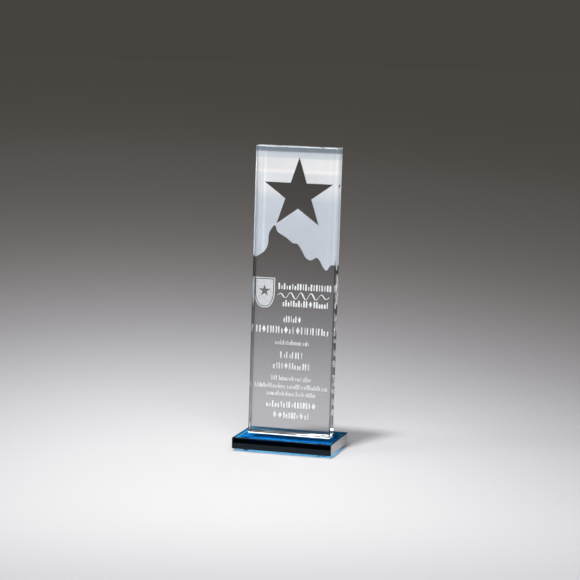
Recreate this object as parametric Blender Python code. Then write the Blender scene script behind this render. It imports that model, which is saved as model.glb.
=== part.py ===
"""Star trophy: a clear glass tower bonded upright on a blue glass base that stands on four bumpers.

Units are metres, +Z is up and +X is to the right as the front of the tower is seen. The front
faces -Y. The origin is on the floor, under the middle of the base.
"""

import math

import bmesh
import bpy
from mathutils import Matrix, Vector

# Driving dimensions
OVERALL_HEIGHT = 0.2660
BASE_SIZE = (0.0889, 0.0635, 0.0100)
BASE_CHAMFER = 0.0006
TOWER_WIDTH = 0.0745
TOWER_THICKNESS = 0.0127
TOWER_CHAMFER = 0.0012
GAP = 0.0003

# Bumper feet
FOOT_HEIGHT = 0.0019
FOOT_TOP_RADIUS = 0.0040
FOOT_SOLE_RADIUS = 0.0026
FOOT_INSET = (0.0098, 0.0090)
FOOT_SEGMENTS = 32
FOOT_RINGS = 6

# Film of adhesive between the base and the tower
BOND_THICKNESS = 0.0003
BOND_INSET = 0.0002

# Frosted layer on the back of the tower
FROST_THICKNESS = 0.0003
STAR_DROP = 0.0422
STAR_RADIUS = 0.0323
STAR_POINTS = 5
STAR_INNER_RATIO = 0.382
RIDGE_STEPS = 4

# Lower edge of the frosted layer, a mountain ridge: (mm right of centre, mm below the tower's top)
RIDGE_MM = (
    (-36.0, 98.0),
    (-31.5, 95.0),
    (-28.0, 91.5),
    (-26.0, 86.0),
    (-25.5, 78.0),
    (-23.0, 72.5),
    (-20.0, 70.0),
    (-17.5, 75.5),
    (-10.0, 80.0),
    (-4.0, 84.5),
    (0.5, 85.5),
    (4.5, 90.5),
    (8.0, 96.5),
    (12.5, 99.0),
    (18.0, 96.5),
    (21.0, 99.0),
    (24.5, 105.0),
    (27.5, 107.0),
    (31.0, 102.5),
    (36.0, 102.5),
)

# Heights worked out from the driving dimensions
BASE_BOTTOM = FOOT_HEIGHT + GAP
BASE_TOP = BASE_BOTTOM + BASE_SIZE[2]
BOND_BOTTOM = BASE_TOP + GAP
TOWER_BOTTOM = BOND_BOTTOM + BOND_THICKNESS + GAP
TOWER_HEIGHT = OVERALL_HEIGHT - TOWER_BOTTOM


def clear_scene():
    for old in list(bpy.data.objects):
        bpy.data.objects.remove(old, do_unlink=True)


def material(name, colour, roughness, transmission=0.0):
    made = bpy.data.materials.new(name)
    made.use_nodes = True
    shader = made.node_tree.nodes["Principled BSDF"]
    shader.inputs["Base Color"].default_value = (*colour, 1.0)
    shader.inputs["Roughness"].default_value = roughness
    shader.inputs["Metallic"].default_value = 0.0
    shader.inputs["Transmission Weight"].default_value = transmission
    made.diffuse_color = (*colour, 1.0)
    return made


def new_object(name, mesh_builder, mat, location=(0.0, 0.0, 0.0)):
    """Makes an object from the bmesh that mesh_builder returns."""
    shape = mesh_builder()
    bmesh.ops.recalc_face_normals(shape, faces=shape.faces)
    mesh = bpy.data.meshes.new(name)
    shape.to_mesh(mesh)
    shape.free()
    mesh.materials.append(mat)
    made = bpy.data.objects.new(name, mesh)
    made.location = location
    bpy.context.collection.objects.link(made)
    return made


def slab(size):
    """A rectangular block of this size, standing on its own origin."""
    shape = bmesh.new()
    bmesh.ops.create_cube(shape, size=1.0)
    bmesh.ops.transform(shape, matrix=Matrix.Diagonal((*size, 1.0)), verts=shape.verts)
    bmesh.ops.translate(shape, vec=(0.0, 0.0, size[2] / 2), verts=shape.verts)
    return shape


def chamfer(target, width):
    """Breaks every sharp edge with one flat facet, as ground and polished plate glass has."""
    bevel = target.modifiers.new("Chamfer", "BEVEL")
    bevel.width = width
    bevel.segments = 1
    bevel.limit_method = "ANGLE"


def prism(outline, y_low, y_high):
    """A closed prism along Y with this (x, z) outline."""
    shape = bmesh.new()
    front = [shape.verts.new((x, y_low, z)) for x, z in outline]
    face = shape.faces.new(front)
    grown = bmesh.ops.extrude_face_region(shape, geom=[face])
    moved = [item for item in grown["geom"] if isinstance(item, bmesh.types.BMVert)]
    bmesh.ops.translate(shape, vec=(0.0, y_high - y_low, 0.0), verts=moved)
    return shape


def smooth_curve(points, steps):
    """Points on a Catmull-Rom curve through the given ones, with steps pieces in each span."""
    ends = [points[0], *points, points[-1]]
    curve = []
    for before, start, stop, after in zip(ends, ends[1:], ends[2:], ends[3:]):
        for step in range(steps):
            t = step / steps
            curve.append(
                0.5
                * (
                    2 * start
                    + (stop - before) * t
                    + (2 * before - 5 * start + 4 * stop - after) * t**2
                    + (3 * start - before - 3 * stop + after) * t**3
                )
            )
    return [*curve, points[-1]]


def sky_outline():
    """The frosted sky: two straight sides, a straight top and the mountain ridge below."""
    ridge = [Vector((x / 1000, OVERALL_HEIGHT - drop / 1000)) for x, drop in RIDGE_MM]
    lower = smooth_curve(ridge, RIDGE_STEPS)
    top = OVERALL_HEIGHT - TOWER_CHAMFER
    return [*lower, Vector((lower[-1].x, top)), Vector((lower[0].x, top))]


def star_outline():
    """A regular five-pointed star with one point up."""
    outline = []
    for corner in range(2 * STAR_POINTS):
        radius = STAR_RADIUS * (STAR_INNER_RATIO if corner % 2 else 1.0)
        angle = math.pi / 2 - corner * math.pi / STAR_POINTS
        height = OVERALL_HEIGHT - STAR_DROP + radius * math.sin(angle)
        outline.append(Vector((radius * math.cos(angle), height)))
    return outline


def make_foot_shape():
    """A turned bumper: flat adhesive top, rounded side and small flat sole."""
    profile = [Vector((0.0, 0.0, 0.0))]
    for ring in range(FOOT_RINGS + 1):
        angle = ring / FOOT_RINGS * math.pi / 2
        radius = FOOT_SOLE_RADIUS + (FOOT_TOP_RADIUS - FOOT_SOLE_RADIUS) * math.sin(angle)
        profile.append(Vector((radius, 0.0, FOOT_HEIGHT * (1 - math.cos(angle)))))
    profile.append(Vector((0.0, 0.0, FOOT_HEIGHT)))
    shape = bmesh.new()
    verts = [shape.verts.new(point) for point in profile]
    edges = [shape.edges.new(pair) for pair in zip(verts, verts[1:])]
    bmesh.ops.spin(
        shape,
        geom=[*verts, *edges],
        cent=(0.0, 0.0, 0.0),
        axis=(0.0, 0.0, 1.0),
        angle=2 * math.pi,
        steps=FOOT_SEGMENTS,
    )
    bmesh.ops.remove_doubles(shape, verts=shape.verts, dist=1e-6)
    return shape


def build_base(mat):
    base = new_object("base_plate", lambda: slab(BASE_SIZE), mat, (0.0, 0.0, BASE_BOTTOM))
    chamfer(base, BASE_CHAMFER)


def build_tower(mat):
    size = (TOWER_WIDTH, TOWER_THICKNESS, TOWER_HEIGHT)
    tower = new_object("glass_tower", lambda: slab(size), mat, (0.0, 0.0, TOWER_BOTTOM))
    chamfer(tower, TOWER_CHAMFER)


def build_bond(mat):
    """A film almost as large as the tower's outline, so its edge shows under the tower's chamfer."""
    size = (TOWER_WIDTH - 2 * BOND_INSET, TOWER_THICKNESS - 2 * BOND_INSET, BOND_THICKNESS)
    new_object("adhesive_bond", lambda: slab(size), mat, (0.0, 0.0, BOND_BOTTOM))


def build_frosted_sky(mat):
    front = TOWER_THICKNESS / 2 + GAP
    back = front + FROST_THICKNESS
    sky = new_object("frosted_sky", lambda: prism(sky_outline(), front, back), mat)
    margin = FROST_THICKNESS
    cutter = new_object(
        "star_cutter", lambda: prism(star_outline(), front - margin, back + margin), mat
    )
    cutter.hide_render = True
    cutter.display_type = "WIRE"
    cut = sky.modifiers.new("Star", "BOOLEAN")
    cut.operation = "DIFFERENCE"
    cut.solver = "EXACT"
    cut.object = cutter


def build_feet(mat):
    across = BASE_SIZE[0] / 2 - FOOT_INSET[0]
    deep = BASE_SIZE[1] / 2 - FOOT_INSET[1]
    for depth_name, y in (("front", -deep), ("back", deep)):
        for side_name, x in (("left", -across), ("right", across)):
            name = f"foot_{depth_name}_{side_name}"
            foot = new_object(name, make_foot_shape, mat, (x, y, 0.0))
            foot.data.shade_smooth()
            foot.data.set_sharp_from_angle(angle=math.radians(40))


def main():
    clear_scene()
    clear_glass = material("clear_glass", (0.90, 0.93, 0.93), 0.02, transmission=1.0)
    blue_glass = material("blue_glass", (0.03, 0.16, 0.45), 0.02, transmission=0.8)
    frost = material("frosted_glass", (0.78, 0.83, 0.89), 0.60)
    bond = material("clear_adhesive", (0.92, 0.94, 0.95), 0.25)
    bumper = material("clear_bumper", (0.80, 0.86, 0.90), 0.35)
    build_base(blue_glass)
    build_bond(bond)
    build_tower(clear_glass)
    build_frosted_sky(frost)
    build_feet(bumper)


main()
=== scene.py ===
"""Looks of the star trophy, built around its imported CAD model. Metres, +Z up, the front faces -Y."""

import math
import random

import bmesh
import bpy
from mathutils import Matrix, Vector


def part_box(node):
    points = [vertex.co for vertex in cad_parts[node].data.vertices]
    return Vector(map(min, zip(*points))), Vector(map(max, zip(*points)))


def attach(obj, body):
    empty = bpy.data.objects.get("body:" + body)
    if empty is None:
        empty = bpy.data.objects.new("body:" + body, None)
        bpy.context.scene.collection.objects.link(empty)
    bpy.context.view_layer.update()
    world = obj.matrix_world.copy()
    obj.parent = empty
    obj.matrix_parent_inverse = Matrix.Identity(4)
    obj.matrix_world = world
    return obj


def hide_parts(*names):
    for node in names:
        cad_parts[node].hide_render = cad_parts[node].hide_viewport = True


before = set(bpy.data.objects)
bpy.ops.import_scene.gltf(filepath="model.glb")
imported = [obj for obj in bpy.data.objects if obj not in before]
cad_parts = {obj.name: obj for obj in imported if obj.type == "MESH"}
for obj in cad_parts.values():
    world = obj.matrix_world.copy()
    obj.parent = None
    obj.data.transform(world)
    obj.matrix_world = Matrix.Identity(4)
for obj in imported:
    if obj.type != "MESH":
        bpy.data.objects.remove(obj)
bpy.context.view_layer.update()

MM = 0.001

# Camera
CAMERA_PLACE = Vector((0.4280, -1.6764, 0.3439))
CAMERA_YAW = math.radians(14.464)
CAMERA_PITCH = math.radians(6.71)
CAMERA_ROLL = math.radians(1.78)
CAMERA_LENS = 123.9

# The two plates: flat chamfers, with a hair-thin arris along each
TOWER_CHAMFER = 1.2 * MM
BASE_CHAMFER = 0.6 * MM
ARRIS = 0.12 * MM

# Details that the CAD model leaves out
FROST_DEPTH = 0.05 * MM
FROST_PROUD = 0.01 * MM
FROST_MARGIN = 0.15 * MM
CLEARANCE = 0.02 * MM

# The film of adhesive
BOND_INSET = 0.25 * MM
BOND_CHAMFER = 0.15 * MM
BOND_ARRIS = 0.02 * MM

# The bumpers, as shares of their own radius and height
SOLE_SHARE = 0.65
ROUNDED_SHARE = 0.9
BUMPER_RINGS = 10
BUMPER_SEGMENTS = 48

# The frosted sky on the back of the tower, measured down from its top
STAR_DROP = 42.2 * MM
STAR_RADIUS = 32.3 * MM
STAR_POINTS = 5
STAR_INNER_RATIO = 0.382
RIDGE_STEPS = 12
RIDGE_MM = (
    (-36.0, 98.0),
    (-31.5, 95.0),
    (-28.0, 91.5),
    (-26.0, 86.0),
    (-25.5, 78.0),
    (-23.0, 72.5),
    (-20.0, 70.0),
    (-17.5, 75.5),
    (-10.0, 80.0),
    (-4.0, 84.5),
    (0.5, 85.5),
    (4.5, 90.5),
    (8.0, 96.5),
    (12.5, 99.0),
    (18.0, 96.5),
    (21.0, 99.0),
    (24.5, 105.0),
    (27.5, 107.0),
    (31.0, 102.5),
    (36.0, 102.5),
)

# Engraved rows, in mm: (drop below the tower's top, offset from the rows' centre, height of a
# stroke, kind of row, widths of the words)
ROWS_CENTRE = -1.4 * MM
ROWS_MM = (
    (123.0, 9.7, 6.0, "bold", (47.5,)),
    (137.9, 10.7, 6.0, "bold", (41.0,)),
    (151.8, -0.5, 6.0, "plain", (16.0,)),
    (161.5, -0.5, 6.6, "plain", (34.0, 29.5)),
    (172.5, -0.3, 4.4, "fine", (24.0, 4.8)),
    (183.6, -0.5, 6.0, "plain", (20.0,)),
    (193.3, -0.3, 6.0, "plain", (32.5,)),
    (204.2, 0.0, 4.4, "fine", (4.9, 13.5, 5.4, 6.7)),
    (211.3, 0.0, 4.4, "fine", (27.9, 29.7, 4.6)),
    (217.8, 0.3, 4.4, "fine", (24.9, 7.4, 8.6)),
    (227.6, 0.6, 6.0, "bold", (45.0,)),
    (237.0, 0.5, 6.0, "bold", (33.0,)),
)
WORD_GAP = 1.7 * MM

# Each kind of row: width of one sign, gap between signs and width of a stroke, in mm
SIGNS_MM = {"bold": (4.0, 0.9, 1.5), "plain": (3.7, 1.0, 1.15), "fine": (1.85, 0.6, 0.62)}

# Shares of the signs that are lozenges, and of the strokes that are short, and a short one's height
LOZENGES = {"bold": 0.2, "plain": 0.2, "fine": 0.0}
SHORT_STROKES = {"bold": 0.3, "plain": 0.3, "fine": 0.75}
SHORT_HEIGHT = 0.68
ROWS_SEED = 7

# The flourish between the two topmost rows
FLOURISH_DROP = 130.9 * MM
FLOURISH_X = (-16.0 * MM, 30.5 * MM)
FLOURISH_SWING = 3.0 * MM
FLOURISH_WAVES = 5
FLOURISH_THIN = 0.45 * MM
FLOURISH_SWELL = 0.85 * MM

# The shield beside the topmost rows
SHIELD_CENTRE = Vector((-27.9, 129.4)) * MM
SHIELD_SIZE = Vector((18.8, 26.8)) * MM
SHIELD_STAR = 5.6 * MM
SHIELD_RIM = 0.9 * MM
SHIELD_GAP = 0.75 * MM

TOWER_LOW, TOWER_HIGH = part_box("glass_tower")
BASE_LOW, BASE_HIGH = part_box("base_plate")
BACK = TOWER_HIGH.y
TOP = TOWER_HIGH.z


# ---------------------------------------------------------------- shader helpers


class Nodes:
    """A short way to write a material's node tree."""

    def __init__(self, name):
        self.material = bpy.data.materials.new(name)
        self.material.use_nodes = True
        self.tree = self.material.node_tree
        self.tree.nodes.clear()
        self.output = self.tree.nodes.new("ShaderNodeOutputMaterial")

    def add(self, kind, inputs=None, **settings):
        node = self.tree.nodes.new("ShaderNode" + kind)
        for key, value in settings.items():
            setattr(node, key, value)
        for key, value in (inputs or {}).items():
            self.feed(node, key, value)
        return node

    def feed(self, node, key, value):
        if isinstance(value, bpy.types.NodeSocket):
            self.tree.links.new(value, node.inputs[key])
        else:
            node.inputs[key].default_value = value

    def surface(self, socket):
        self.tree.links.new(socket, self.output.inputs["Surface"])

    def lit_through(self, socket, tint):
        """Glass that lets light from the lamps reach what is behind it."""
        clear = self.add("BsdfTransparent", {"Color": (*tint, 1.0)}).outputs[0]
        lamps = self.add("LightPath").outputs["Is Shadow Ray"]
        self.surface(self.add("MixShader", {0: lamps, 1: socket, 2: clear}).outputs[0])

    def volume(self, socket):
        self.tree.links.new(socket, self.output.inputs["Volume"])

    def place(self):
        return self.add("TexCoord").outputs["Object"]

    def noise(self, scale, detail=2.0, roughness=0.5):
        node = self.add(
            "TexNoise",
            {"Vector": self.place(), "Scale": scale, "Detail": detail, "Roughness": roughness},
        )
        return node.outputs["Fac"]

    def spread(self, value, low, high, from_low=0.0, from_high=1.0, smooth=False):
        """value, moved from one range to another."""
        node = self.add(
            "MapRange",
            {"Value": value, "From Min": from_low, "From Max": from_high, "To Min": low, "To Max": high},
            interpolation_type="SMOOTHSTEP" if smooth else "LINEAR",
        )
        return node.outputs["Result"]

    def maths(self, operation, a, b=0.0):
        node = self.add("Math", {0: a, 1: b}, operation=operation)
        return node.outputs[0]

    def blend(self, factor, first, second):
        """A colour between two others, which are colours or sockets."""
        ends = [(*end, 1.0) if isinstance(end, tuple) else end for end in (first, second)]
        node = self.add("Mix", {"Factor": factor, 6: ends[0], 7: ends[1]}, data_type="RGBA")
        return node.outputs[2]

    def multiply(self, colour, by):
        node = self.add("VectorMath", {0: colour, 1: by}, operation="MULTIPLY")
        return node.outputs[0]

    def ramp(self, factor, stops):
        """A colour that changes along its (place, colour) stops."""
        node = self.add("ValToRGB", {"Fac": factor})
        elements = node.color_ramp.elements
        while len(elements) < len(stops):
            elements.new(1.0)
        for element, (place, colour) in zip(elements, stops):
            element.position = place
            element.color = (*colour, 1.0)
        return node.outputs[0]


# ---------------------------------------------------------------- materials


# The tower's upright chamfers are painted dark, as painted shade, from between these drops below its top
# down to its foot
PAINTED_SHADE_CHAMFERS = (94.0 * MM, 102.0 * MM)


def clear_glass():
    """Polished glass with a grey tint on the back face and painted shade on the upright chamfers low
    down.
    """
    n = Nodes("clear_glass")
    place = n.add("SeparateXYZ", {0: n.place()})
    normal = n.add("SeparateXYZ", {0: n.add("NewGeometry").outputs["Normal"]})
    back = n.spread(place.outputs["Y"], 0.0, 1.0, BACK - 0.3 * MM, BACK - 0.1 * MM)
    slope = n.maths("ABSOLUTE", n.maths("MULTIPLY", normal.outputs["X"], normal.outputs["Y"]))
    chamfer = n.spread(slope, 0.0, 1.0, 0.3, 0.45)
    start, full = PAINTED_SHADE_CHAMFERS
    low = n.spread(place.outputs["Z"], 1.0, 0.0, TOP - full, TOP - start, smooth=True)
    tint = n.blend(back, (1.0, 1.0, 1.0), (0.40, 0.405, 0.41))
    # painted shade: the upright chamfers low down get a dark tint
    tint = n.blend(n.maths("MULTIPLY", chamfer, low), tint, (0.12, 0.15, 0.18))
    smudge = n.spread(n.noise(55.0, 4.0), 0.0, 0.012, 0.55, 0.75, smooth=True)
    glass = n.add(
        "BsdfPrincipled",
        {"Base Color": tint, "Roughness": smudge, "IOR": 1.52, "Transmission Weight": 1.0},
    )
    n.surface(glass.outputs[0])
    return n.material


# Tone of the frosting down from the tower's top, in mm: painted light and shade in bands, where light
# from the top edge gathers, over the frost's own tone lower down
FROST_TONE_AND_PAINTED_BANDS = (
    (0.0, (0.95, 0.96, 0.97)),
    (1.1, (0.90, 0.92, 0.94)),
    (1.5, (0.32, 0.37, 0.43)),
    (5.0, (0.29, 0.35, 0.41)),
    (6.0, (0.70, 0.75, 0.80)),
    (10.4, (0.71, 0.76, 0.81)),
    (11.4, (0.87, 0.875, 0.88)),
    (20.0, (0.87, 0.875, 0.88)),
    (22.4, (0.98, 0.97, 0.95)),
    (25.4, (0.83, 0.85, 0.875)),
    (38.0, (0.82, 0.845, 0.875)),
    (49.0, (0.635, 0.69, 0.76)),
    (82.0, (0.635, 0.69, 0.76)),
    (110.0, (0.64, 0.695, 0.765)),
)
FROST_LOW = FROST_TONE_AND_PAINTED_BANDS[-1][0]

# The same across the tower, in mm from its middle: painted light in upright streaks near the two edges
FROST_PAINTED_STREAKS = (
    (-37.0, 1.0),
    (-36.0, 1.13),
    (-33.0, 1.09),
    (-31.6, 1.04),
    (-30.9, 1.20),
    (-30.0, 1.19),
    (-29.0, 1.02),
    (0.0, 1.0),
    (26.8, 1.0),
    (28.0, 1.05),
    (29.2, 1.0),
    (31.8, 0.98),
    (33.0, 1.10),
    (37.0, 1.14),
)
FROST_SIDE = FROST_PAINTED_STREAKS[-1][0]


def frost():
    """Matt white etching with painted bands and streaks of light and shade, a faint cloud and a fine
    grain.
    """
    n = Nodes("frost")
    split = n.add("SeparateXYZ", {0: n.place()})
    drop = n.spread(split.outputs["Z"], 0.0, 1.0, TOP, TOP - FROST_LOW * MM)
    # painted light and shade: bright and dark bands down from the top, over the frost's own tone
    bands = n.ramp(drop, [(where / FROST_LOW, tone) for where, tone in FROST_TONE_AND_PAINTED_BANDS])
    across = n.spread(split.outputs["X"], 0.0, 1.0, -FROST_SIDE * MM, FROST_SIDE * MM)
    # painted light: upright streaks near the two edges
    streak_stops = [((x / FROST_SIDE + 1.0) / 2, (tone,) * 3) for x, tone in FROST_PAINTED_STREAKS]
    streaks = n.ramp(across, streak_stops)
    cloud = n.spread(n.noise(34.0, 3.0), 0.965, 1.035, 0.3, 0.7, smooth=True)
    grain = n.noise(2600.0, 2.0)
    shade = n.maths("MULTIPLY", cloud, n.spread(grain, 0.97, 1.03, 0.3, 0.7))
    tone = n.multiply(n.multiply(bands, streaks), shade)
    bump = n.add("Bump", {"Height": grain, "Strength": 0.25, "Distance": 0.00003}).outputs[0]
    etched = n.add(
        "BsdfPrincipled",
        {"Base Color": tone, "Roughness": n.spread(grain, 0.55, 0.8), "Normal": bump, "IOR": 1.45},
    )
    n.surface(etched.outputs[0])
    return n.material


def etched_mark(name, dark, light, scale, glow):
    """Etched strokes with painted light: a faint emission stands for the light that the glass carries to
    them.
    """
    n = Nodes(name)
    grain = n.noise(scale, 2.0)
    mark = n.add(
        "BsdfPrincipled",
        {
            "Base Color": n.blend(n.spread(grain, 0.0, 1.0, 0.35, 0.65), dark, light),
            "Roughness": n.spread(grain, 0.5, 0.75),
            # painted light: a faint emission, though the marks are no lamp
            "Emission Color": (0.96, 0.98, 1.0, 1.0),
            "Emission Strength": glow,
        },
    )
    n.surface(mark.outputs[0])
    return n.material


def blue_glass():
    """Deep blue glass: its faces let light through, and its ground edges are dark and glossy, with
    painted shade on their top half and a painted reflection on the lower half of the front.
    """
    n = Nodes("blue_glass")
    normal = n.add("SeparateXYZ", {0: n.add("NewGeometry").outputs["Normal"]})
    flat = n.spread(n.maths("ABSOLUTE", normal.outputs["Z"]), 0.0, 1.0, 0.8, 0.95)
    front = n.spread(n.maths("ABSOLUTE", normal.outputs["Y"]), 0.0, 1.0, 0.5, 0.7)
    side = n.spread(n.maths("ABSOLUTE", normal.outputs["X"]), 0.0, 1.0, 0.75, 0.95)
    height = n.add("SeparateXYZ", {0: n.place()}).outputs["Z"]
    middle = (BASE_LOW.z + BASE_HIGH.z) / 2
    # painted shade and reflection: the edges' top half is painted darker, and the front reflects mostly
    # on its lower half
    painted_dark_top_half = n.spread(height, 0.0, 1.0, middle - 0.4 * MM, middle + 0.6 * MM, smooth=True)
    smudge = n.spread(n.noise(60.0, 3.0), 0.0, 0.02, 0.5, 0.8, smooth=True)
    painted_reflection_tint = n.blend(painted_dark_top_half, (0.40, 0.54, 0.68), (0.01, 0.03, 0.05))
    edge = n.add(
        "BsdfPrincipled",
        {
            "Base Color": n.blend(painted_dark_top_half, (0.004, 0.006, 0.010), (0.0, 0.001, 0.002)),
            "Roughness": smudge,
            "IOR": 1.52,
            "Specular Tint": n.blend(front, (1.0, 1.0, 1.0), painted_reflection_tint),
            "Transmission Weight": 1.0,
            "Coat Weight": side,
            "Coat Roughness": 0.05,
        },
    )
    face = n.add("BsdfRefraction", {"Color": (1.0, 1.0, 1.0, 1.0), "Roughness": 0.0, "IOR": 1.52})
    mix = n.add("MixShader", {0: flat, 1: edge.outputs[0], 2: face.outputs[0]})
    n.lit_through(mix.outputs[0], (0.20, 0.145, 0.17))
    depth = n.add("VolumeAbsorption", {"Color": (0.0, 0.735, 0.955, 1.0), "Density": 200.0})
    n.volume(depth.outputs[0])
    return n.material


def bond_film():
    """Cured adhesive, white where it catches the light and a little cloudy."""
    n = Nodes("bond_film")
    cloud = n.noise(180.0, 3.0)
    tone = n.blend(cloud, (0.93, 0.95, 0.97), (1.0, 1.0, 1.0))
    film = n.add("BsdfPrincipled", {"Base Color": tone, "Roughness": n.spread(cloud, 0.2, 0.4)})
    n.surface(film.outputs[0])
    return n.material


def bumper():
    """Clear, slightly hazy gel."""
    n = Nodes("bumper")
    haze = n.noise(900.0, 2.0)
    gel = n.add(
        "BsdfPrincipled",
        {
            "Base Color": (0.86, 0.90, 0.93, 1.0),
            "Roughness": n.spread(haze, 0.08, 0.22),
            "IOR": 1.49,
            "Transmission Weight": 1.0,
        },
    )
    n.surface(gel.outputs[0])
    return n.material


# ---------------------------------------------------------------- geometry helpers


def piece(name, shape, material, replaced=()):
    """Makes a piece of the object from a bmesh, and says which slot it has and what it replaces."""
    bmesh.ops.recalc_face_normals(shape, faces=shape.faces)
    mesh = bpy.data.meshes.new(name)
    shape.to_mesh(mesh)
    shape.free()
    mesh.materials.append(material)
    made = bpy.data.objects.new(name, mesh)
    bpy.context.collection.objects.link(made)
    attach(made, "root")
    if replaced:
        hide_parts(*replaced)
    return made


def polished_block(low, high, chamfer, arris=ARRIS):
    """A plate ground flat with one chamfer on each edge, and a hair-thin arris along the chamfers."""
    shape = bmesh.new()
    bmesh.ops.create_cube(shape, size=1.0)
    size = high - low
    bmesh.ops.transform(shape, matrix=Matrix.Diagonal((*size, 1.0)), verts=shape.verts)
    bmesh.ops.translate(shape, vec=(low + high) / 2, verts=shape.verts)
    for width, segments in ((chamfer, 1), (arris, 2)):
        bmesh.ops.bevel(
            shape,
            geom=list(shape.edges),
            offset=width,
            offset_type="OFFSET",
            segments=segments,
            profile=0.5,
            affect="EDGES",
            clamp_overlap=True,
        )
    return shape


def prism(shape, outline, y_low, y_high):
    """Adds a closed prism along Y, with this (x, z) outline, to a bmesh."""
    front = [shape.verts.new((p[0], y_low, p[1])) for p in outline]
    back = [shape.verts.new((p[0], y_high, p[1])) for p in outline]
    shape.faces.new(front)
    shape.faces.new(list(reversed(back)))
    count = len(outline)
    for i in range(count):
        j = (i + 1) % count
        shape.faces.new((front[i], back[i], back[j], front[j]))


def smooth_curve(points, steps):
    """Points on a Catmull-Rom curve through the given ones, with steps pieces in each span."""
    ends = [points[0], *points, points[-1]]
    curve = []
    for before, start, stop, after in zip(ends, ends[1:], ends[2:], ends[3:]):
        for step in range(steps):
            t = step / steps
            curve.append(
                0.5
                * (
                    2 * start
                    + (stop - before) * t
                    + (2 * before - 5 * start + 4 * stop - after) * t**2
                    + (3 * start - before - 3 * stop + after) * t**3
                )
            )
    return [*curve, points[-1]]


def star(centre, radius):
    """A regular star with one point up."""
    outline = []
    for corner in range(2 * STAR_POINTS):
        reach = radius * (STAR_INNER_RATIO if corner % 2 else 1.0)
        angle = math.pi / 2 - corner * math.pi / STAR_POINTS
        outline.append(centre + reach * Vector((math.cos(angle), math.sin(angle))))
    return outline


def plate_with_hole(outline, hole, y_low, y_high):
    """A closed plate along Y with one hole."""
    shape = bmesh.new()
    rims = []
    for loop in (outline, hole):
        verts = [shape.verts.new((p[0], y_low, p[1])) for p in loop]
        rims += [shape.edges.new((verts[i - 1], verts[i])) for i in range(len(verts))]
    filled = bmesh.ops.triangle_fill(shape, edges=rims, use_beauty=True, normal=(0.0, -1.0, 0.0))
    faces = [item for item in filled["geom"] if isinstance(item, bmesh.types.BMFace)]
    grown = bmesh.ops.extrude_face_region(shape, geom=faces, use_keep_orig=True)
    moved = [item for item in grown["geom"] if isinstance(item, bmesh.types.BMVert)]
    bmesh.ops.translate(shape, vec=(0.0, y_high - y_low, 0.0), verts=moved)
    return shape


# The frosting and the marks lie between these two depths
LAYER = (BACK - FROST_DEPTH, BACK + FROST_PROUD)


def stroke(shape, start, end, width, steps=3):
    """Adds one straight stroke with round ends to a bmesh, etched in the back face."""
    along = (end - start).normalized()
    heading = math.atan2(along.y, along.x)
    outline = []
    for centre, turn in ((end, -math.pi / 2), (start, math.pi / 2)):
        for step in range(steps + 1):
            angle = heading + turn + step / steps * math.pi
            outline.append(centre + width / 2 * Vector((math.cos(angle), math.sin(angle))))
    prism(shape, outline, *LAYER)


def ribbon(shape, points, widths):
    """Adds a flat ribbon along a line of (x, z) points to a bmesh, etched in the back face."""
    low, high = LAYER
    last = len(points) - 1
    rings = []
    for i, (point, width) in enumerate(zip(points, widths)):
        along = (points[min(i + 1, last)] - points[max(i - 1, 0)]).normalized()
        side = Vector((-along.y, along.x)) * width / 2
        one, other = point + side, point - side
        rim = ((one, low), (other, low), (other, high), (one, high))
        rings.append([shape.verts.new((p.x, y, p.y)) for p, y in rim])
    for ring, following in zip(rings, rings[1:]):
        for i in range(4):
            shape.faces.new((ring[i - 1], ring[i], following[i], following[i - 1]))
    shape.faces.new(rings[0])
    shape.faces.new(rings[-1])


# ---------------------------------------------------------------- pieces


def make_tower():
    shape = polished_block(TOWER_LOW, TOWER_HIGH, TOWER_CHAMFER)
    piece("tower_glass", shape, clear_glass(), ("glass_tower",))


def sky_outline():
    """The ridge, carried on level to both sides, then up and across near the tower's top."""
    edge = TOWER_HIGH.x - FROST_MARGIN
    top = TOP - FROST_MARGIN
    ridge = [Vector((x * MM, TOP - drop * MM)) for x, drop in RIDGE_MM]
    lower = smooth_curve(ridge, RIDGE_STEPS)
    left = Vector((-edge, lower[0].y))
    right = Vector((edge, lower[-1].y))
    return [left, *lower, right, Vector((edge, top)), Vector((-edge, top))]


def make_sky():
    """Frosting on the back face above the ridge, around the star, and folded onto the chamfers."""
    hole = star(Vector((0.0, TOP - STAR_DROP)), STAR_RADIUS)
    shape = plate_with_hole(sky_outline(), hole, *LAYER)
    start_x = TOWER_HIGH.x - TOWER_CHAMFER
    start_z = TOP - TOWER_CHAMFER
    folds = (
        ((start_x, 0.0, 0.0), (1.0, 0.0, 0.0)),
        ((-start_x, 0.0, 0.0), (1.0, 0.0, 0.0)),
        ((0.0, 0.0, start_z), (0.0, 0.0, 1.0)),
        ((start_x, 0.0, start_z), (1.0, 0.0, -1.0)),
        ((-start_x, 0.0, start_z), (1.0, 0.0, 1.0)),
    )
    for point, normal in folds:
        whole = [*shape.verts, *shape.edges, *shape.faces]
        bmesh.ops.bisect_plane(shape, geom=whole, plane_co=point, plane_no=normal, dist=1e-7)
    for vert in shape.verts:
        vert.co.y -= max(abs(vert.co.x) - start_x, vert.co.z - start_z, 0.0)
    piece("sky_frosting", shape, frost(), ("frosted_sky",))


def add_sign(shape, pick, kind, left, low, high, width, line):
    """Adds one sign of a row, uprights or a lozenge. The rows stand for text and spell nothing."""
    if LOZENGES[kind] and pick.random() < LOZENGES[kind]:
        middle = Vector((left + width / 2, (low + high) / 2))
        tips = ((0.0, 0.5), (0.42, 0.0), (0.0, -0.5), (-0.42, 0.0))
        outline = [middle + Vector((a * width, b * (high - low))) for a, b in tips]
        prism(shape, outline, *LAYER)
        return
    for x, weight in ((left + line / 2, 1.0), (left + width - line / 2, pick.choice((0.6, 1.0)))):
        tall = high
        if pick.random() < SHORT_STROKES[kind]:
            tall = low + SHORT_HEIGHT * (high - low)
        stroke(shape, Vector((x, low + line / 2)), Vector((x, tall - line / 2)), line * weight)


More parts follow.
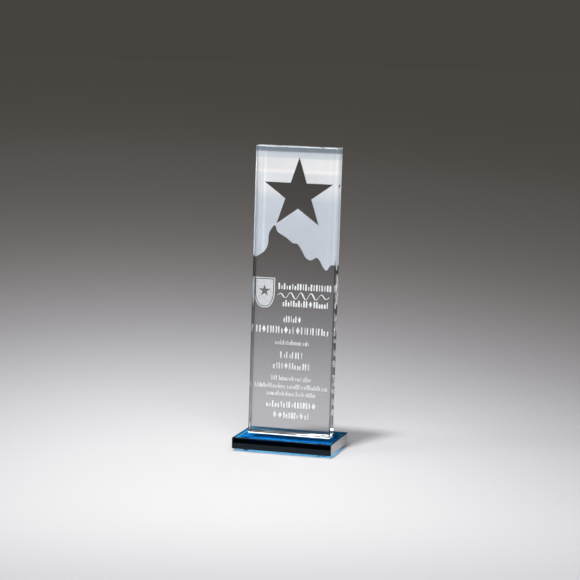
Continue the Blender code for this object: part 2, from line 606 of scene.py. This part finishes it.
def make_rows(material):
    pick = random.Random(ROWS_SEED)
    for number, (drop, offset, height, kind, words) in enumerate(ROWS_MM, start=1):
        sign, gap, line = (value * MM for value in SIGNS_MM[kind])
        widths = [width * MM for width in words]
        x = ROWS_CENTRE + offset * MM - (sum(widths) + WORD_GAP * (len(widths) - 1)) / 2
        low = TOP - (drop + height / 2) * MM
        high = low + height * MM
        shape = bmesh.new()
        for width in widths:
            count = max(1, round((width + gap) / (sign + gap)))
            pitch = (width + gap) / count
            for index in range(count):
                add_sign(shape, pick, kind, x + index * pitch, low, high, pitch - gap, line)
            x += width + WORD_GAP
        piece(f"engraved_row_{number:02d}", shape, material)


def make_flourish(material):
    """A waving line that swells and thins, as from a broad pen."""
    steps = 24 * FLOURISH_WAVES
    start, end = FLOURISH_X
    points, widths = [], []
    for step in range(steps + 1):
        t = step / steps
        phase = 2 * math.pi * FLOURISH_WAVES * t
        fade = math.sin(math.pi * t) ** 0.4
        z = TOP - FLOURISH_DROP + FLOURISH_SWING * fade * math.sin(phase)
        points.append(Vector((start + (end - start) * t, z)))
        widths.append(FLOURISH_THIN + FLOURISH_SWELL * fade * max(0.0, -math.cos(phase)))
    shape = bmesh.new()
    ribbon(shape, points, widths)
    piece("engraved_flourish", shape, material)


def shield_outline(centre, half, steps=8):
    """A shield: straight top and upper sides, and a pointed foot made of two arcs."""
    top = centre.y + half.y
    shoulder = centre.y + 0.1 * half.y
    foot = centre.y - half.y
    side = [Vector((half.x, top))]
    for step in range(steps):
        angle = step / steps * math.pi / 2
        reach = half.x * math.cos(angle) ** 0.8
        side.append(Vector((reach, shoulder - (shoulder - foot) * math.sin(angle))))
    left = [Vector((-p.x, p.y)) for p in reversed(side)]
    return [p + Vector((centre.x, 0.0)) for p in [*side, Vector((0.0, foot)), *left]]


def make_shield(material):
    """An emblem: a shield with a line around it and a clear star in it."""
    centre = Vector((SHIELD_CENTRE.x, TOP - SHIELD_CENTRE.y))
    half = SHIELD_SIZE / 2
    inner = half - Vector((SHIELD_RIM, SHIELD_RIM))
    heart = inner - Vector((SHIELD_GAP, SHIELD_GAP))
    border = plate_with_hole(shield_outline(centre, half), shield_outline(centre, inner), *LAYER)
    piece("engraved_shield_border", border, material)
    hole = star(centre + Vector((0.0, 0.12 * half.y)), SHIELD_STAR)
    field = plate_with_hole(shield_outline(centre, heart), hole, *LAYER)
    piece("engraved_shield", field, material)


def make_bond():
    """A film of adhesive that wets the bottom of the tower, with its edge drawn in a little."""
    inset = Vector((BOND_INSET, BOND_INSET, 0.0))
    low = Vector((TOWER_LOW.x, TOWER_LOW.y, BASE_HIGH.z + CLEARANCE)) + inset
    high = Vector((TOWER_HIGH.x, TOWER_HIGH.y, TOWER_LOW.z + FROST_PROUD)) - inset
    shape = polished_block(low, high, BOND_CHAMFER, BOND_ARRIS)
    piece("bond_film", shape, bond_film(), ("adhesive_bond",))


def make_base():
    shape = polished_block(BASE_LOW, BASE_HIGH, BASE_CHAMFER)
    piece("base_glass", shape, blue_glass(), ("base_plate",))


def bumper_shape(radius, low, high):
    """A turned bumper: small flat sole, rounded side and flat top."""
    sole = SOLE_SHARE * radius
    height = high - low
    profile = [Vector((0.0, 0.0, low))]
    for ring in range(BUMPER_RINGS + 1):
        angle = ring / BUMPER_RINGS * math.pi / 2
        reach = sole + (radius - sole) * math.sin(angle)
        rise = height * ROUNDED_SHARE * (1 - math.cos(angle))
        profile.append(Vector((reach, 0.0, low + rise)))
    profile.append(Vector((radius, 0.0, high)))
    profile.append(Vector((0.0, 0.0, high)))
    shape = bmesh.new()
    verts = [shape.verts.new(point) for point in profile]
    edges = [shape.edges.new(pair) for pair in zip(verts, verts[1:])]
    bmesh.ops.spin(
        shape,
        geom=[*verts, *edges],
        cent=(0.0, 0.0, 0.0),
        axis=(0.0, 0.0, 1.0),
        angle=2 * math.pi,
        steps=BUMPER_SEGMENTS,
    )
    bmesh.ops.remove_doubles(shape, verts=shape.verts, dist=1e-6)
    return shape


def make_feet(material):
    for name in ("front_left", "front_right", "back_left", "back_right"):
        low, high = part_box(f"foot_{name}")
        centre = (low + high) / 2
        shape = bumper_shape((high.x - low.x) / 2, low.z, BASE_LOW.z - CLEARANCE)
        bmesh.ops.translate(shape, vec=(centre.x, centre.y, 0.0), verts=shape.verts)
        made = piece(f"bumper_{name}", shape, material, (f"foot_{name}",))
        made.data.shade_smooth()
        made.data.set_sharp_from_angle(angle=math.radians(40))


# ---------------------------------------------------------------- studio


# The floor's tone where the painted pool of light has fallen to this share of its middle: (share,
# colour)
FLOOR_PAINTED_POOL_TONES = (
    (0.0, (0.060, 0.055, 0.049)),
    (0.019, (0.084, 0.078, 0.073)),
    (0.115, (0.156, 0.145, 0.143)),
    (0.36, (0.340, 0.333, 0.347)),
    (0.71, (0.630, 0.632, 0.655)),
    (0.84, (0.735, 0.728, 0.752)),
    (1.0, (0.870, 0.862, 0.870)),
)

# How brightly the soft lights make a white floor glow, which the tones above are divided by
FLOOR_LIGHT = 2.13

# The painted pool of light on the floor: its middle, turn, radius where it has halved, and falloff
FLOOR_REACH = 80.0
POOL_CENTRE = Vector((0.006, -0.214, 0.0))
POOL_TURN = math.radians(20.5)
POOL_RADIUS = 0.76
POOL_FALLOFF = 2.1


def floor_material():
    """Pale and matt, with a painted pool of light, which narrows to the back and fades into the dark."""
    n = Nodes("floor")
    split = n.add("SeparateXYZ", {0: n.place()})
    x, y = split.outputs["X"], split.outputs["Y"]
    ahead = n.maths("MINIMUM", y, 0.0)
    behind = n.maths("MAXIMUM", y, 0.0)
    along = n.maths("ADD", n.maths("MULTIPLY", ahead, 1.75), behind)
    spreading = n.maths("ADD", n.maths("MULTIPLY", ahead, 1.4), n.maths("MULTIPLY", behind, 0.55))
    narrowing = n.maths("MAXIMUM", n.maths("ADD", spreading, 1.65), 0.6)
    across = n.maths("MULTIPLY", x, narrowing)
    squared = n.maths("ADD", n.maths("POWER", across, 2.0), n.maths("POWER", along, 2.0))
    radii = n.maths("DIVIDE", n.maths("SQRT", squared), POOL_RADIUS)
    share = n.maths("DIVIDE", 1.0, n.maths("ADD", n.maths("POWER", radii, POOL_FALLOFF), 1.0))
    # the painted pool of light goes into the floor's colour
    stops = [(place, tuple(value / FLOOR_LIGHT for value in tone)) for place, tone in FLOOR_PAINTED_POOL_TONES]
    shader = n.add("BsdfDiffuse", {"Color": n.ramp(share, stops)})
    n.surface(shader.outputs[0])
    return n.material


def make_floor():
    shape = bmesh.new()
    bmesh.ops.create_grid(shape, x_segments=1, y_segments=1, size=FLOOR_REACH)
    mesh = bpy.data.meshes.new("floor")
    shape.to_mesh(mesh)
    shape.free()
    floor = bpy.data.objects.new("floor", mesh)
    floor.location = POOL_CENTRE
    floor.rotation_euler = (0.0, 0.0, POOL_TURN)
    bpy.context.collection.objects.link(floor)
    mesh.materials.append(floor_material())


# Soft lights: (direction, inner and outer half-angle in degrees, strength)
SOFTBOXES = (
    ((-0.12, -0.40, 1.0), 2.6, 4.6, 430.0),  # the key, which casts the shadow
    ((-0.25, -0.12, 0.96), 4.0, 9.0, 13.0),  # overhead, for the line on the tower's top edge
    ((-0.78, -0.50, 0.46), 6.0, 13.0, 8.0),  # left, for the side edges
    ((0.25, -0.85, 0.65), 14.0, 28.0, 7.4),  # front, for the frosting
    ((0.20, 0.60, 1.00), 14.0, 26.0, 1.6),  # back
)
BACKDROP_COLOUR = (0.061, 0.056, 0.050, 1.0)


def make_world():
    """A dark studio with soft lights above and in front."""
    world = bpy.data.worlds.new("studio")
    bpy.context.scene.world = world
    world.use_nodes = True
    tree = world.node_tree
    tree.nodes.clear()
    way = tree.nodes.new("ShaderNodeTexCoord").outputs["Generated"]
    backdrop = tree.nodes.new("ShaderNodeBackground")
    backdrop.inputs["Color"].default_value = BACKDROP_COLOUR
    total = backdrop.outputs[0]
    for direction, inner, outer, strength in SOFTBOXES:
        dot = tree.nodes.new("ShaderNodeVectorMath")
        dot.operation = "DOT_PRODUCT"
        dot.inputs[1].default_value = Vector(direction).normalized()
        tree.links.new(way, dot.inputs[0])
        soft = tree.nodes.new("ShaderNodeMapRange")
        soft.interpolation_type = "SMOOTHSTEP"
        soft.inputs["From Min"].default_value = math.cos(math.radians(outer))
        soft.inputs["From Max"].default_value = math.cos(math.radians(inner))
        soft.inputs["To Max"].default_value = strength
        tree.links.new(dot.outputs["Value"], soft.inputs["Value"])
        light = tree.nodes.new("ShaderNodeBackground")
        tree.links.new(soft.outputs["Result"], light.inputs["Strength"])
        add = tree.nodes.new("ShaderNodeAddShader")
        tree.links.new(total, add.inputs[0])
        tree.links.new(light.outputs[0], add.inputs[1])
        total = add.outputs[0]
    output = tree.nodes.new("ShaderNodeOutputWorld")
    tree.links.new(total, output.inputs["Surface"])


def make_camera():
    data = bpy.data.cameras.new("camera")
    data.lens = CAMERA_LENS
    data.sensor_width = 36.0
    data.clip_start = 0.05
    data.clip_end = 200.0
    camera = bpy.data.objects.new("camera", data)
    bpy.context.collection.objects.link(camera)
    turn = (
        Matrix.Rotation(CAMERA_YAW, 4, "Z")
        @ Matrix.Rotation(math.pi / 2 - CAMERA_PITCH, 4, "X")
        @ Matrix.Rotation(CAMERA_ROLL, 4, "Z")
    )
    camera.matrix_world = Matrix.Translation(CAMERA_PLACE) @ turn
    bpy.context.scene.camera = camera


bpy.context.scene.view_settings.view_transform = "Standard"
make_tower()
make_sky()
# the last number is the strength of the marks' painted emission
bright_mark = etched_mark("etched_mark", (0.80, 0.82, 0.84), (0.90, 0.91, 0.92), 2200.0, 0.12)
soft_mark = etched_mark("etched_emblem", (0.56, 0.59, 0.62), (0.70, 0.72, 0.74), 700.0, 0.08)
make_rows(bright_mark)
make_flourish(bright_mark)
make_shield(soft_mark)
make_bond()
make_base()
make_feet(bumper())
make_floor()
make_world()
make_camera()
